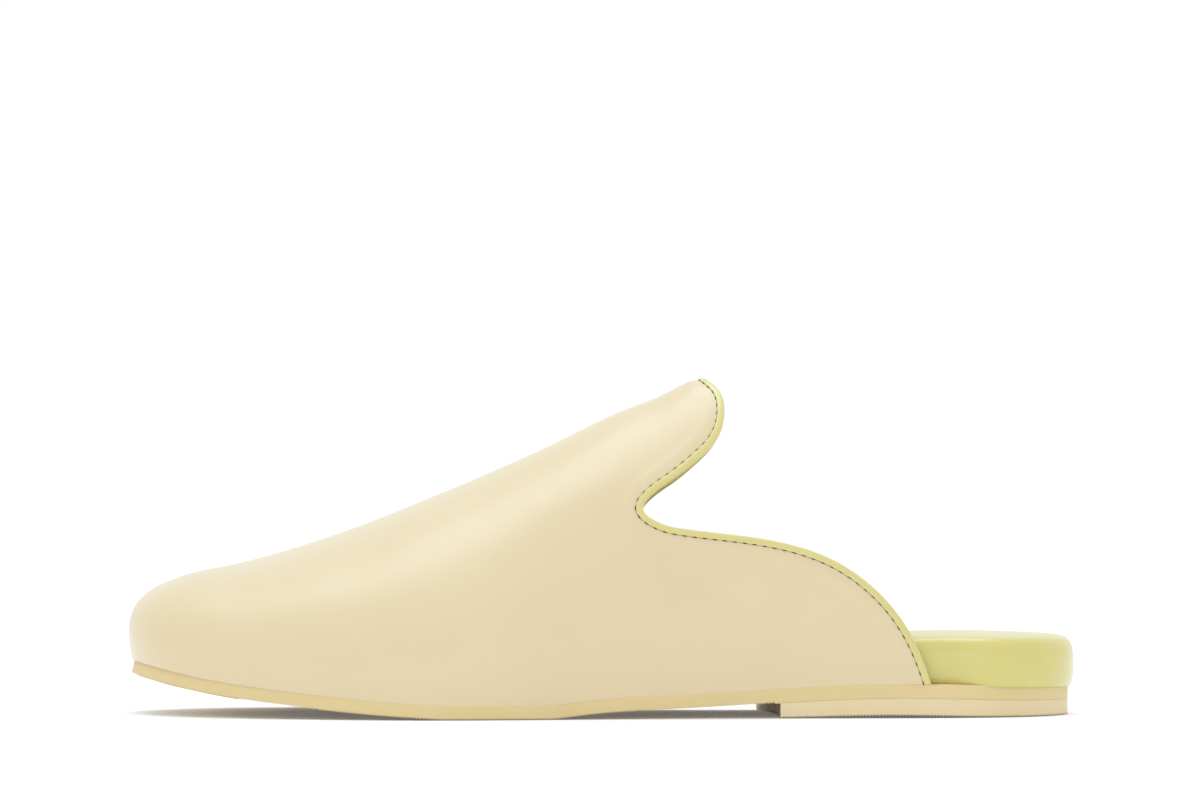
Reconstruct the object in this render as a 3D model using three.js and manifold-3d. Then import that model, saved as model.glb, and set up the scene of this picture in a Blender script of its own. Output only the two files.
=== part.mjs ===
// A man's flat leather mule for the left foot: a one-piece upper with a tall tongue, a bound topline, a
// thick padded footbed, a thin sole with a low heel. Lengths are in millimetres. While it is built, X runs
// from the back of the heel to the toe, Y to the outer side of the foot and Z up from the floor. At the
// end the shoe is turned half round, so that its toe points to -X and its outer side faces -Y.
import * as THREE from "three";
import { mergeVertices } from "three/addons/utils/BufferGeometryUtils.js";
import Module from "manifold-3d";

const wasm = await Module();
wasm.setup();

// Sizes of the sole, seen from above and from the side
const SOLE_LENGTH = 282.6;
const HEEL_WIDTH = 64;
const WAIST_WIDTH = 65;
const BALL_WIDTH = 97;
const TOE_WIDTH = 76;
const OUTWARD_SWING = 8;
const SOLE_THICKNESS = 4.3;
const SEAT_HEIGHT = 5.9;
const TOE_SPRING = 12.2;

// Sizes of the heel
const HEEL_LENGTH = 88;
const BREAST_SKEW = 6;
const BREAST_HOLLOW = 2;

// Sizes of the upper and its binding
const INSTEP_HEIGHT = 96.5;
const TOE_BOX_HEIGHT = 34.4;
const SIDE_SWELL = 6.2;
const FEATHER_INSET = 0.5;
const UPPER_WALL = 1.7;
const BINDING_WIDTH = 2.6;
const BINDING_STEP = 0.4;
const INNER_DROP = 2;

// Sizes of the footbed
const HEEL_PAD = 14.3;
const BALL_PAD = 7;
const TOE_PAD = 4.5;
const PAD_OVERHANG = 2.1;

// Clearances between pieces that touch
const JOINT_GAP = 0.3;
const LASTING_ROOM = 0.5;

// Half-widths along the sole. Widths follow the named size beside them, and the middle follows the swing.
const PLAN = [
  { along: 0, width: 0, middle: 0 },
  { along: 0.035, width: 0.7 * HEEL_WIDTH, middle: 0.05 },
  { along: 0.12, width: 0.99 * HEEL_WIDTH, middle: 0.22 },
  { along: 0.25, width: HEEL_WIDTH, middle: 0.5 },
  { along: 0.4, width: WAIST_WIDTH, middle: 0.87 },
  { along: 0.52, width: 0.77 * BALL_WIDTH, middle: 1 },
  { along: 0.62, width: 0.915 * BALL_WIDTH, middle: 0.75 },
  { along: 0.71, width: BALL_WIDTH, middle: 0.34 },
  { along: 0.81, width: 0.935 * BALL_WIDTH, middle: -0.1 },
  { along: 0.9, width: TOE_WIDTH, middle: -0.45 },
  { along: 0.965, width: 0.66 * TOE_WIDTH, middle: -0.62 },
  { along: 1, width: 0, middle: -0.7 },
];

// Height of the sole's underside: its seat column is a share of the seat height, its toe column of the
// toe spring. Where it would dip below the floor, under the ball, the sole is worn flat.
const UNDERSIDE = [
  { along: 0, seat: 0.8, toe: 0 },
  { along: 0.09, seat: 0.9, toe: 0 },
  { along: 0.185, seat: 1, toe: 0 },
  { along: 0.3, seat: 0.79, toe: 0 },
  { along: 0.42, seat: 0.47, toe: 0 },
  { along: 0.51, seat: 0.21, toe: 0 },
  { along: 0.56, seat: -0.06, toe: 0 },
  { along: 0.64, seat: -0.06, toe: 0 },
  { along: 0.73, seat: 0, toe: 0.1 },
  { along: 0.82, seat: 0, toe: 0.3 },
  { along: 0.91, seat: 0, toe: 0.57 },
  { along: 1, seat: 0, toe: 1 },
];

// The line over the top of the upper. Rise goes from 0 at the toe box to 1 at the tip of the tongue, with
// a slight hollow where the tongue begins, and falls below 0 where the toe rounds off. Crest is its place
// across, as a share of the swing.
const RIDGE = [
  { along: 0.12, rise: 0.9, crest: 0.4 },
  { along: 0.25, rise: 0.97, crest: 0.45 },
  { along: 0.355, rise: 1, crest: 0.5 },
  { along: 0.388, rise: 1, crest: 0.5 },
  { along: 0.404, rise: 0.985, crest: 0.5 },
  { along: 0.435, rise: 0.918, crest: 0.5 },
  { along: 0.467, rise: 0.861, crest: 0.48 },
  { along: 0.546, rise: 0.692, crest: 0.4 },
  { along: 0.628, rise: 0.524, crest: 0.15 },
  { along: 0.709, rise: 0.359, crest: -0.12 },
  { along: 0.787, rise: 0.198, crest: -0.35 },
  { along: 0.851, rise: 0.073, crest: -0.5 },
  { along: 0.9, rise: -0.016, crest: -0.6 },
  { along: 0.935, rise: -0.077, crest: -0.66 },
  { along: 0.96, rise: -0.137, crest: -0.69 },
];

// How each rib of the upper bends: upright is the share of its height that it climbs before it turns,
// swell its outward pull as a share of the side swell, and crown the share of its width that lies flat.
const RIBS = [
  { along: 0.12, upright: 0.52, swell: 0.6, crown: 0.46 },
  { along: 0.4, upright: 0.58, swell: 1.2, crown: 0.46 },
  { along: 0.55, upright: 0.55, swell: 1.15, crown: 0.5 },
  { along: 0.7, upright: 0.51, swell: 0.8, crown: 0.53 },
  { along: 0.85, upright: 0.5, swell: 0.75, crown: 0.6 },
  { along: 0.95, upright: 0.5, swell: 0.62, crown: 0.75 },
  { along: 1, upright: 0.6, swell: 0.47, crown: 0.93 },
];

// The topline in side view, from below the sole's top, up the outer quarter, round the notch and over the
// lobe to the tip of the tongue. Along is a share of the sole's length, up a share of the instep height.
const TOPLINE = [
  { along: 0.144, up: 0 },
  { along: 0.165, up: 0.173 },
  { along: 0.1845, up: 0.2715 },
  { along: 0.215, up: 0.368 },
  { along: 0.2545, up: 0.445 },
  { along: 0.31, up: 0.499 },
  { along: 0.365, up: 0.524 },
  { along: 0.4125, up: 0.541 },
  { along: 0.438, up: 0.561 },
  { along: 0.4535, up: 0.605 },
  { along: 0.4463, up: 0.638 },
  { along: 0.421, up: 0.694 },
  { along: 0.3945, up: 0.7565 },
  { along: 0.3753, up: 0.8175 },
  { along: 0.367, up: 0.8985 },
  { along: 0.3712, up: 0.9605 },
  { along: 0.3855, up: 1 },
];

// Thickness of the footbed along the shoe, from the thick heel pad to the thin toe
const PAD = [
  { along: 0, thickness: 1.05 * HEEL_PAD },
  { along: 0.17, thickness: HEEL_PAD },
  { along: 0.35, thickness: 0.5 * (HEEL_PAD + BALL_PAD) },
  { along: 0.62, thickness: BALL_PAD },
  { along: 1, thickness: TOE_PAD },
];

// The footbed's edge from its foot to its crown: inset is a share of the overall rounding, up a share of
// the pad's thickness.
const PAD_ROUNDING = 16;
const PAD_EDGE = [
  { inset: 0.13, up: 0 },
  { inset: 0.035, up: 0.1 },
  { inset: 0, up: 0.3 },
  { inset: 0, up: 0.5 },
  { inset: 0.02, up: 0.68 },
  { inset: 0.075, up: 0.81 },
  { inset: 0.19, up: 0.92 },
  { inset: 0.42, up: 0.98 },
  { inset: 1, up: 1 },
];

// Where things begin and end, as shares of the sole's length
const FAN_START = 0.7;
const FAN_END = 0.945;
const UPPER_BACK = 0.125;
const HEEL_BLANK = 0.37;
const PAD_TUCK_FRONT = 0.148;
const PAD_TUCK_BACK = 0.075;
const SPRING_START = 0.62;

// Where the topline begins and ends its fall to the inner side, as shares of half the ball's width
const DROP_START = 0.04;
const DROP_END = 0.54;

// How finely each surface is cut into facets
const RIB_STEPS = 13;
const UPPER_STATIONS = 44;
const SOLE_STATIONS = 56;
const PAD_STATIONS = 44;
const BREAST_STEPS = 8;
const TOPLINE_STEPS = 84;
const DROP_STEPS = 16;

// A natural cubic spline of one column of a table over another
function splineThrough(rows, over, column) {
  const at = rows.map((row) => row[over]);
  const value = rows.map((row) => row[column]);
  const last = rows.length - 1;
  const bend = new Array(rows.length).fill(0);
  const pivot = new Array(rows.length).fill(0);
  for (let i = 1; i < last; i++) {
    const before = at[i] - at[i - 1];
    const after = at[i + 1] - at[i];
    const turn = (value[i + 1] - value[i]) / after - (value[i] - value[i - 1]) / before;
    const weight = 2 * (before + after) - before * pivot[i - 1];
    pivot[i] = after / weight;
    bend[i] = (6 * turn - before * bend[i - 1]) / weight;
  }
  for (let i = last - 1; i > 0; i--) bend[i] -= pivot[i] * bend[i + 1];
  return (where) => {
    const place = THREE.MathUtils.clamp(where, at[0], at[last]);
    let i = 0;
    while (i < last - 1 && place > at[i + 1]) i++;
    const step = at[i + 1] - at[i];
    const near = (at[i + 1] - place) / step;
    const far = 1 - near;
    const curve = (near ** 3 - near) * bend[i] + (far ** 3 - far) * bend[i + 1];
    return near * value[i] + far * value[i + 1] + (curve * step * step) / 6;
  };
}

// The sole's outline by an angle: 0 at the back of the heel, up the outer side to PI at the toe, and back
// down the inner side to 2 PI.
const turnOf = (along) => Math.acos(1 - 2 * along);
const alongAt = (angle) => (1 - Math.cos(angle)) / 2;
const widthAt = splineThrough(
  PLAN.map((row) => ({ turn: turnOf(row.along), width: row.width })),
  "turn",
  "width",
);
const middleAt = splineThrough(PLAN, "along", "middle");

function outline(angle) {
  const side = angle <= Math.PI ? 1 : -1;
  const turn = side > 0 ? angle : 2 * Math.PI - angle;
  const along = alongAt(angle);
  const across = OUTWARD_SWING * middleAt(along) + (side * widthAt(turn)) / 2;
  return new THREE.Vector2(SOLE_LENGTH * along, across);
}

// A point of the outline moved outward, or inward where the offset is negative
const ANGLE_STEP = 1e-4;

function offsetOutline(angle, offset) {
  const here = outline(angle);
  const onward = outline(angle + ANGLE_STEP).sub(outline(angle - ANGLE_STEP)).normalize();
  return here.add(new THREE.Vector2(-onward.y, onward.x).multiplyScalar(offset));
}

// Heights of the sole's underside and top, and the tilt of the sole in side view
const seatShare = splineThrough(UNDERSIDE, "along", "seat");
const toeShare = splineThrough(UNDERSIDE, "along", "toe");

function underside(x) {
  const along = x / SOLE_LENGTH;
  return Math.max(0, SEAT_HEIGHT * seatShare(along) + TOE_SPRING * toeShare(along));
}

const SLOPE_STEP = 1;

function soleTilt(x) {
  const middle = THREE.MathUtils.clamp(x, SLOPE_STEP, SOLE_LENGTH - SLOPE_STEP);
  return Math.atan2(underside(middle + SLOPE_STEP) - underside(middle - SLOPE_STEP), 2 * SLOPE_STEP);
}

const soleTop = (x) => underside(x) + SOLE_THICKNESS / Math.cos(soleTilt(x));

// The line over the top of the upper, by its distance from the back of the heel
const riseAt = splineThrough(RIDGE, "along", "rise");
const crestAt = splineThrough(RIDGE, "along", "crest");

function ridge(x) {
  const along = x / SOLE_LENGTH;
  const sprung = Math.max(0, (along - SPRING_START) / (1 - SPRING_START));
  const height = THREE.MathUtils.lerp(TOE_BOX_HEIGHT, INSTEP_HEIGHT, riseAt(along));
  const z = SOLE_THICKNESS + TOE_SPRING * sprung ** 2 + height;
  return new THREE.Vector3(x, OUTWARD_SWING * crestAt(along), z);
}

// Where a rib that starts at x on the sole meets the ridge: straight above it, until the ribs of the toe
// fan out from the end of the ridge.
function ridgeStation(x) {
  const start = FAN_START * SOLE_LENGTH;
  if (x <= start) return x;
  const end = FAN_END * SOLE_LENGTH;
  const left = Math.max(0, (SOLE_LENGTH - x) / (SOLE_LENGTH - start));
  return end - (end - start) * left ** ((SOLE_LENGTH - start) / (end - start));
}

// A point of the upper's outer face: one rib for each angle of the outline, bent as a cubic curve from
// the sole, where share is 0, to the ridge, where it is 1.
const uprightAt = splineThrough(RIBS, "along", "upright");
const swellAt = splineThrough(RIBS, "along", "swell");
const crownAt = splineThrough(RIBS, "along", "crown");

function upperPoint(angle, share) {
  const foot = offsetOutline(angle, -FEATHER_INSET);
  const along = alongAt(angle);
  const station = ridgeStation(SOLE_LENGTH * along);
  const top = ridge(station);
  if (station < FAN_START * SOLE_LENGTH) foot.x = station;
  const bottom = new THREE.Vector3(foot.x, foot.y, soleTop(foot.x) + JOINT_GAP);
  const outward = new THREE.Vector3(foot.x - top.x, foot.y - top.y, 0);
  const width = outward.length();
  outward.divideScalar(width);
  const slope = (ridge(station + SLOPE_STEP).z - ridge(station - SLOPE_STEP).z) / (2 * SLOPE_STEP);
  const side = bottom.clone().addScaledVector(outward, SIDE_SWELL * swellAt(along));
  side.z += uprightAt(along) * (top.z - bottom.z);
  const crown = top.clone().addScaledVector(outward, crownAt(along) * width);
  crown.z += slope * (crown.x - top.x);
  return new THREE.CubicBezierCurve3(bottom, side, crown, top).getPoint(share);
}

// The same point moved along the face's normal, outward where the offset is positive. Where all ribs of
// the toe meet, the normal is taken a small step before their end.
const SHARE_STEP = 1e-3;

function upperOffset(angle, share, offset) {
  const near = THREE.MathUtils.clamp(share, SHARE_STEP, 1 - SHARE_STEP);
  const up = upperPoint(angle, near + SHARE_STEP).sub(upperPoint(angle, near - SHARE_STEP));
  const onward = upperPoint(angle + ANGLE_STEP, near).sub(upperPoint(angle - ANGLE_STEP, near));
  const normal = up.cross(onward).normalize();
  return upperPoint(angle, share).addScaledVector(normal, offset);
}

// A closed solid from points and triangles, whichever way round they run
function solidFrom(points, triangles) {
  const raw = new THREE.BufferGeometry().setFromPoints(points).setIndex(triangles);
  const merged = mergeVertices(raw, 1e-4);
  const corners = merged.index.array;
  const kept = [];
  for (let i = 0; i < corners.length; i += 3) {
    const [a, b, c] = corners.slice(i, i + 3);
    if (a !== b && b !== c && c !== a) kept.push(a, b, c);
  }
  const make = (triVerts) =>
    new wasm.Manifold(
      new wasm.Mesh({
        numProp: 3,
        vertProperties: merged.attributes.position.array,
        triVerts: new Uint32Array(triVerts),
      }),
    );
  const solid = make(kept);
  return solid.volume() > 0 ? solid : make(kept.reverse());
}

// The same from one of the library's shapes, which lists each triangle's corners on their own
function solidFromGeometry(geometry) {
  const place = geometry.attributes.position;
  const points = Array.from({ length: place.count }, (_, i) =>
    new THREE.Vector3().fromBufferAttribute(place, i),
  );
  return solidFrom(points, points.map((_, i) => i));
}

// A solid skinned over closed rings of the same number of points. Each end is closed by rungs between
// the ring's first half and its second, run backwards.
function skin(rings) {
  const count = rings[0].length;
  const triangles = [];
  for (let ring = 0; ring < rings.length - 1; ring++) {
    for (let i = 0; i < count; i++) {
      const next = (i + 1) % count;
      const [a, b] = [ring * count + i, ring * count + next];
      triangles.push(a, b, b + count, a, b + count, a + count);
    }
  }
  const close = (start, flip) => {
    for (let i = 0; i < Math.floor((count - 1) / 2); i++) {
      const quad = [i, i + 1, count - 2 - i, count - 1 - i].map((index) => start + index);
      if (flip) quad.reverse();
      triangles.push(quad[0], quad[2], quad[1], quad[0], quad[3], quad[2]);
    }
  };
  close(0, false);
  close((rings.length - 1) * count, true);
  return solidFrom(rings.flat(), triangles);
}

// Angles from a share of the length to the toe, closer together round the toe as the outline turns
function anglesToToe(from, steps) {
  const start = turnOf(from);
  return Array.from({ length: steps + 1 }, (_, i) => start + ((Math.PI - start) * i) / steps);
}

// The upper's form filled solid, its outer face moved by an offset and its foot lowered by a depth
function filledUpper(offset, depth) {
  const rings = anglesToToe(UPPER_BACK, UPPER_STATIONS).map((angle) => {
    const wall = (turned) => {
      const rib = Array.from({ length: RIB_STEPS + 1 }, (_, i) =>
        upperOffset(turned, i / RIB_STEPS, offset),
      );
      rib[0].z -= depth;
      return rib;
    };
    const outer = wall(angle);
    const inner = wall(2 * Math.PI - angle).reverse();
    return [...outer, ...inner.slice(1)];
  });
  return skin(rings);
}

// Everything behind the topline, moved into the upper by an offset, as a cutter that runs across the shoe
// and falls a little to its inner side
function behindTopline(offset) {
  const rows = TOPLINE.map((row) => ({
    x: SOLE_LENGTH * row.along,
    z: SOLE_THICKNESS + INSTEP_HEIGHT * row.up,
  }));
  let run = 0;
  rows.forEach((row, i) => {
    if (i > 0) run += Math.hypot(row.x - rows[i - 1].x, row.z - rows[i - 1].z);
    row.run = run;
  });
  const xAt = splineThrough(rows, "run", "x");
  const zAt = splineThrough(rows, "run", "z");
  const edge = Array.from({ length: TOPLINE_STEPS + 1 }, (_, i) => {
    const here = (run * i) / TOPLINE_STEPS;
    const onward = new THREE.Vector2(
      xAt(here + SHARE_STEP) - xAt(here - SHARE_STEP),
      zAt(here + SHARE_STEP) - zAt(here - SHARE_STEP),
    ).normalize();
    return new THREE.Vector2(xAt(here) + offset * onward.y, zAt(here) - offset * onward.x);
  });
  const first = edge[0];
  const last = edge.at(-1);
  const lean = last.clone().sub(edge.at(-2)).normalize();
  const clear = SOLE_LENGTH / 2;
  const above = last.clone().addScaledVector(lean, clear);
  const shape = new THREE.Shape([
    new THREE.Vector2(-clear, -clear),
    new THREE.Vector2(first.x, -clear),
    ...edge,
    above,
    new THREE.Vector2(-clear, above.y),
  ]);
  const across = new THREE.ExtrudeGeometry(shape, {
    depth: BALL_WIDTH,
    steps: 2 * DROP_STEPS,
    bevelEnabled: false,
  });
  across.rotateX(Math.PI / 2).translate(0, BALL_WIDTH / 2, 0);
  const place = across.attributes.position;
  for (let i = 0; i < place.count; i++) {
    const inward = (-2 * place.getY(i)) / BALL_WIDTH;
    const fall = INNER_DROP * THREE.MathUtils.smoothstep(inward, DROP_START, DROP_END);
    place.setZ(i, place.getZ(i) - fall);
  }
  return solidFromGeometry(across);
}

// The leather upper: a wall of its real thickness, open behind the topline and underneath
function upperSolid() {
  const outer = filledUpper(0, 0);
  const inner = filledUpper(-UPPER_WALL, SOLE_THICKNESS);
  return outer.subtract(inner).subtract(behindTopline(BINDING_WIDTH + JOINT_GAP));
}

// The binding folded over the topline: a thicker strip of the same wall, between two cuts
function bindingSolid() {
  const outer = filledUpper(BINDING_STEP, 0);
  const inner = filledUpper(-UPPER_WALL - BINDING_STEP, SOLE_THICKNESS);
  const strip = behindTopline(BINDING_WIDTH).subtract(behindTopline(0));
  return outer.subtract(inner).intersect(strip);
}

// The sole: one thickness throughout, square to its curved underside
function soleSolid() {
  const stations = anglesToToe(0, SOLE_STATIONS);
  const rings = stations.map((angle) => {
    const edge = [outline(angle), outline(2 * Math.PI - angle)];
    const under = edge.map(({ x, y }) => new THREE.Vector3(x, y, underside(x)));
    const over = under.map((point) => {
      const tilt = soleTilt(point.x);
      return point
        .clone()
        .add(new THREE.Vector3(-Math.sin(tilt), 0, Math.cos(tilt)).multiplyScalar(SOLE_THICKNESS));
    });
    return [under[0], over[0], over[1], under[1]];
  });
  return skin(rings);
}

// The heel: what lies under the back of the sole, cut off by a breast that is hollow and runs further
// forward on the inner side.
function heelSolid() {
  const rings = anglesToToe(0, SOLE_STATIONS)
    .filter((angle) => alongAt(angle) < HEEL_BLANK)
    .map((angle) => {
      const edge = [outline(angle), outline(2 * Math.PI - angle)];
      const foot = edge.map(({ x, y }) => new THREE.Vector3(x, y, 0));
      const head = edge.map(({ x, y }) => new THREE.Vector3(x, y, underside(x) - JOINT_GAP));
      return [foot[0], head[0], head[1], foot[1]];
    });
  const breast = Array.from({ length: BREAST_STEPS + 1 }, (_, i) => {
    const across = 1 - (2 * i) / BREAST_STEPS;
    const skew = (BREAST_SKEW * (1 - across)) / 2;
    return new THREE.Vector2(
      HEEL_LENGTH + skew - BREAST_HOLLOW * (1 - across ** 2),
      (across * HEEL_WIDTH) / 2,
    );
  });
  const plan = new THREE.Shape([
    new THREE.Vector2(-HEEL_WIDTH, HEEL_WIDTH),
    new THREE.Vector2(breast[0].x, HEEL_WIDTH),
    ...breast,
    new THREE.Vector2(breast.at(-1).x, -HEEL_WIDTH),
    new THREE.Vector2(-HEEL_WIDTH, -HEEL_WIDTH),
  ]);
  const block = new THREE.ExtrudeGeometry(plan, { depth: 4 * SEAT_HEIGHT, bevelEnabled: false });
  block.translate(0, 0, -2 * SEAT_HEIGHT);
  return skin(rings).intersect(solidFromGeometry(block));
}

// The footbed: rings from its foot to its crown. It overhangs the sole round the heel, and tucks inside
// the upper from where the quarters begin.
function footbedSolid() {
  const thicknessAt = splineThrough(PAD, "along", "thickness");
  const tucked = -(FEATHER_INSET + UPPER_WALL + BINDING_STEP + LASTING_ROOM);
  const rings = PAD_EDGE.map((row) => {
    const ring = Array.from({ length: 2 * PAD_STATIONS }, (_, i) => {
      const angle = (Math.PI * (i + 0.5)) / PAD_STATIONS;
      const out = THREE.MathUtils.smoothstep(-alongAt(angle), -PAD_TUCK_FRONT, -PAD_TUCK_BACK);
      const reach = THREE.MathUtils.lerp(tucked, PAD_OVERHANG, out);
      const point = offsetOutline(angle, reach - PAD_ROUNDING * row.inset);
      const thickness = thicknessAt(point.x / SOLE_LENGTH);
      const level = soleTop(point.x) + JOINT_GAP;
      return new THREE.Vector3(point.x, point.y, level + thickness * row.up);
    });
    return ring;
  });
  return skin(rings);
}

// Each piece of the shoe as a named mesh in its own colour
function pieceMesh(name, solid, look) {
  const made = solid.getMesh();
  const geometry = new THREE.BufferGeometry();
  geometry.setAttribute("position", new THREE.BufferAttribute(made.vertProperties, 3));
  geometry.setIndex(new THREE.BufferAttribute(made.triVerts, 1));
  geometry.computeVertexNormals();
  const mesh = new THREE.Mesh(geometry, new THREE.MeshStandardMaterial(look));
  mesh.name = name;
  return mesh;
}

const shoe = new THREE.Group();
shoe.add(
  pieceMesh("sole", soleSolid(), { color: 0xdcc898, roughness: 0.6 }),
  pieceMesh("heel", heelSolid(), { color: 0xe0cfa2, roughness: 0.6 }),
  pieceMesh("footbed", footbedSolid(), { color: 0xdad28a, roughness: 0.45 }),
  pieceMesh("upper", upperSolid(), { color: 0xe6d8b4, roughness: 0.55 }),
  pieceMesh("topline_binding", bindingSolid(), { color: 0xd8d088, roughness: 0.5 }),
);

// The origin is on the floor, under the middle of the shoe
shoe.rotation.z = Math.PI;
const extent = new THREE.Box3().setFromObject(shoe, true);
const centre = extent.getCenter(new THREE.Vector3());
shoe.position.set(-centre.x, -centre.y, -extent.min.z);

export default new THREE.Group().add(shoe);
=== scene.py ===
import math

import bmesh
import bpy
import numpy as np
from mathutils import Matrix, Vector
from mathutils.kdtree import KDTree


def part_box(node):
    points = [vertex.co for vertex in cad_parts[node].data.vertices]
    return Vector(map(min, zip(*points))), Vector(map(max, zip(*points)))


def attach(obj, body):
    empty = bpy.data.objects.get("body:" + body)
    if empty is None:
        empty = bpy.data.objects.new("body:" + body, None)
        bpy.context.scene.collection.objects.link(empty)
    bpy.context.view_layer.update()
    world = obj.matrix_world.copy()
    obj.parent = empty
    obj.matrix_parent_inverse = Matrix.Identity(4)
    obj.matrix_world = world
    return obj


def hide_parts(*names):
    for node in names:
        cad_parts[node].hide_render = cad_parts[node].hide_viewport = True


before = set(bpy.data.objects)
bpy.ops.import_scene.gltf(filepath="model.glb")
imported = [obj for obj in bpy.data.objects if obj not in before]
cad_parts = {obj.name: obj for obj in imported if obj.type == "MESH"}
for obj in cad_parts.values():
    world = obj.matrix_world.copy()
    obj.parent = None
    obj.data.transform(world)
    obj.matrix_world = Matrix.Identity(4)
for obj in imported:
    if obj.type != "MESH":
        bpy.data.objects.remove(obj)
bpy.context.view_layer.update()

# The setting: the left shoe stands on a plain white floor in soft light from all round. The camera stands
# low, about as high as the shoe, and looks square at its outer side through a long lens.
MM = 0.001
CAMERA_DISTANCE = 2220 * MM
CAMERA_HEIGHT = 94.5 * MM
CAMERA_ALONG = -0.45 * MM
LENS_MM = 221
SENSOR_MM = 36
NEAREST_SEEN = 50 * MM
FLOOR_SIZE = 60
WORLD_STRENGTH = 1.01
LAMPS = (
    # name, place, aim, width, depth, watts, colour
    ("overhead_softbox", (-0.15, 0.15, 1.4), (-0.02, 0, 0.04), 1.2, 0.8, 9, (0.62, 0.84, 1)),
    ("front_fill", (-0.3, -1.6, 0.16), (-0.04, 0, 0), 1.6, 0.28, 1.6, (1, 1, 1)),
)

bpy.context.scene.view_settings.view_transform = "Standard"

camera_data = bpy.data.cameras.new("photo_camera")
camera_data.lens = LENS_MM
camera_data.sensor_width = SENSOR_MM
camera_data.clip_start = NEAREST_SEEN
camera_data.clip_end = FLOOR_SIZE
camera = bpy.data.objects.new("photo_camera", camera_data)
camera.location = (CAMERA_ALONG, -CAMERA_DISTANCE, CAMERA_HEIGHT)
camera.rotation_euler = (math.pi / 2, 0, 0)
bpy.context.collection.objects.link(camera)
bpy.context.scene.camera = camera

for name, place, aim, width, depth, watts, colour in LAMPS:
    lamp_data = bpy.data.lights.new(name, "AREA")
    lamp_data.shape = "RECTANGLE"
    lamp_data.size = width
    lamp_data.size_y = depth
    lamp_data.energy = watts
    lamp_data.color = colour
    lamp = bpy.data.objects.new(name, lamp_data)
    lamp.location = place
    lamp.rotation_euler = (Vector(aim) - Vector(place)).to_track_quat("-Z", "Y").to_euler()
    bpy.context.collection.objects.link(lamp)

world = bpy.data.worlds.new("white_studio")
world.use_nodes = True
world.node_tree.nodes["Background"].inputs["Color"].default_value = (1, 1, 1, 1)
world.node_tree.nodes["Background"].inputs["Strength"].default_value = WORLD_STRENGTH
bpy.context.scene.world = world


def mesh_piece(name, points, faces, materials, face_material=None):
    """A smooth-shaded mesh object at the origin, from points in metres and corners by number."""
    mesh = bpy.data.meshes.new(name)
    mesh.from_pydata([tuple(point) for point in points], [], [tuple(face) for face in faces])
    for material in materials:
        mesh.materials.append(material)
    mesh.polygons.foreach_set("use_smooth", [True] * len(mesh.polygons))
    if face_material is not None:
        mesh.polygons.foreach_set("material_index", [int(index) for index in face_material])
    mesh.validate()
    mesh.update()
    piece = bpy.data.objects.new(name, mesh)
    bpy.context.collection.objects.link(piece)
    return piece


def new_material(name, **sockets):
    """A material with one Principled BSDF, whose plain sockets are set to fixed values."""
    material = bpy.data.materials.new(name)
    material.use_nodes = True
    shader = material.node_tree.nodes["Principled BSDF"]
    for socket, value in sockets.items():
        shader.inputs[socket.replace("_", " ")].default_value = value
    return material, shader


floor_finish, _ = new_material(
    "white_floor",
    Base_Color=(0.935, 0.935, 0.945, 1),
    Roughness=0.8,
    Emission_Color=(0.82, 0.86, 1, 1),
    Emission_Strength=0.09,
)
half_floor = FLOOR_SIZE / 2
floor = mesh_piece(
    "studio_floor",
    [(x * half_floor, y * half_floor, 0) for x, y in ((-1, -1), (1, -1), (1, 1), (-1, 1))],
    [(0, 1, 2, 3)],
    [floor_finish],
)

# The sole: one sheet of smooth tan rubber, cut to the outline of the last and trimmed square. It rises in
# the arch and at the toe, is worn flat under the ball, and has fine ribs across in front of the heel.
SOLE_LENGTH = 282.6 * MM
HEEL_WIDTH = 64 * MM
WAIST_WIDTH = 65 * MM
BALL_WIDTH = 97 * MM
TOE_WIDTH = 76 * MM
OUTWARD_SWING = 8 * MM
SOLE_THICKNESS = 4.3 * MM
SEAT_HEIGHT = 5.9 * MM
TOE_SPRING = 12.2 * MM
HEEL_LENGTH = 88 * MM
TREAD_PITCH = 1 * MM
TREAD_DEPTH = 0.6 * MM
ROUND_END_DEG = 12
ROUND_STEP_DEG = 1.5
FIRST_TURN = 0.004
JOINT_GAP = 0.03 * MM
WELD = 0.0005 * MM
OUTLINE_SAMPLES = 2000
ANGLE_STEP = 1e-4
SLOPE_STEP = 1 * MM
PLAN = {
    "along": (0, 0.035, 0.12, 0.25, 0.4, 0.52, 0.62, 0.71, 0.81, 0.9, 0.965, 1),
    "heel": (0, 0.7, 0.99, 1, 0, 0, 0, 0, 0, 0, 0, 0),
    "waist": (0, 0, 0, 0, 1, 0, 0, 0, 0, 0, 0, 0),
    "ball": (0, 0, 0, 0, 0, 0.77, 0.915, 1, 0.935, 0, 0, 0),
    "toe": (0, 0, 0, 0, 0, 0, 0, 0, 0, 1, 0.66, 0),
    "middle": (0, 0.05, 0.22, 0.5, 0.87, 1, 0.75, 0.34, -0.1, -0.45, -0.62, -0.7),
}
UNDERSIDE = {
    "along": (0, 0.09, 0.185, 0.3, 0.42, 0.51, 0.56, 0.64, 0.73, 0.82, 0.91, 1),
    "seat": (0.8, 0.9, 1, 0.79, 0.47, 0.21, -0.06, -0.06, 0, 0, 0, 0),
    "toe": (0, 0, 0, 0, 0, 0, 0, 0, 0.1, 0.3, 0.57, 1),
}


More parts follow.
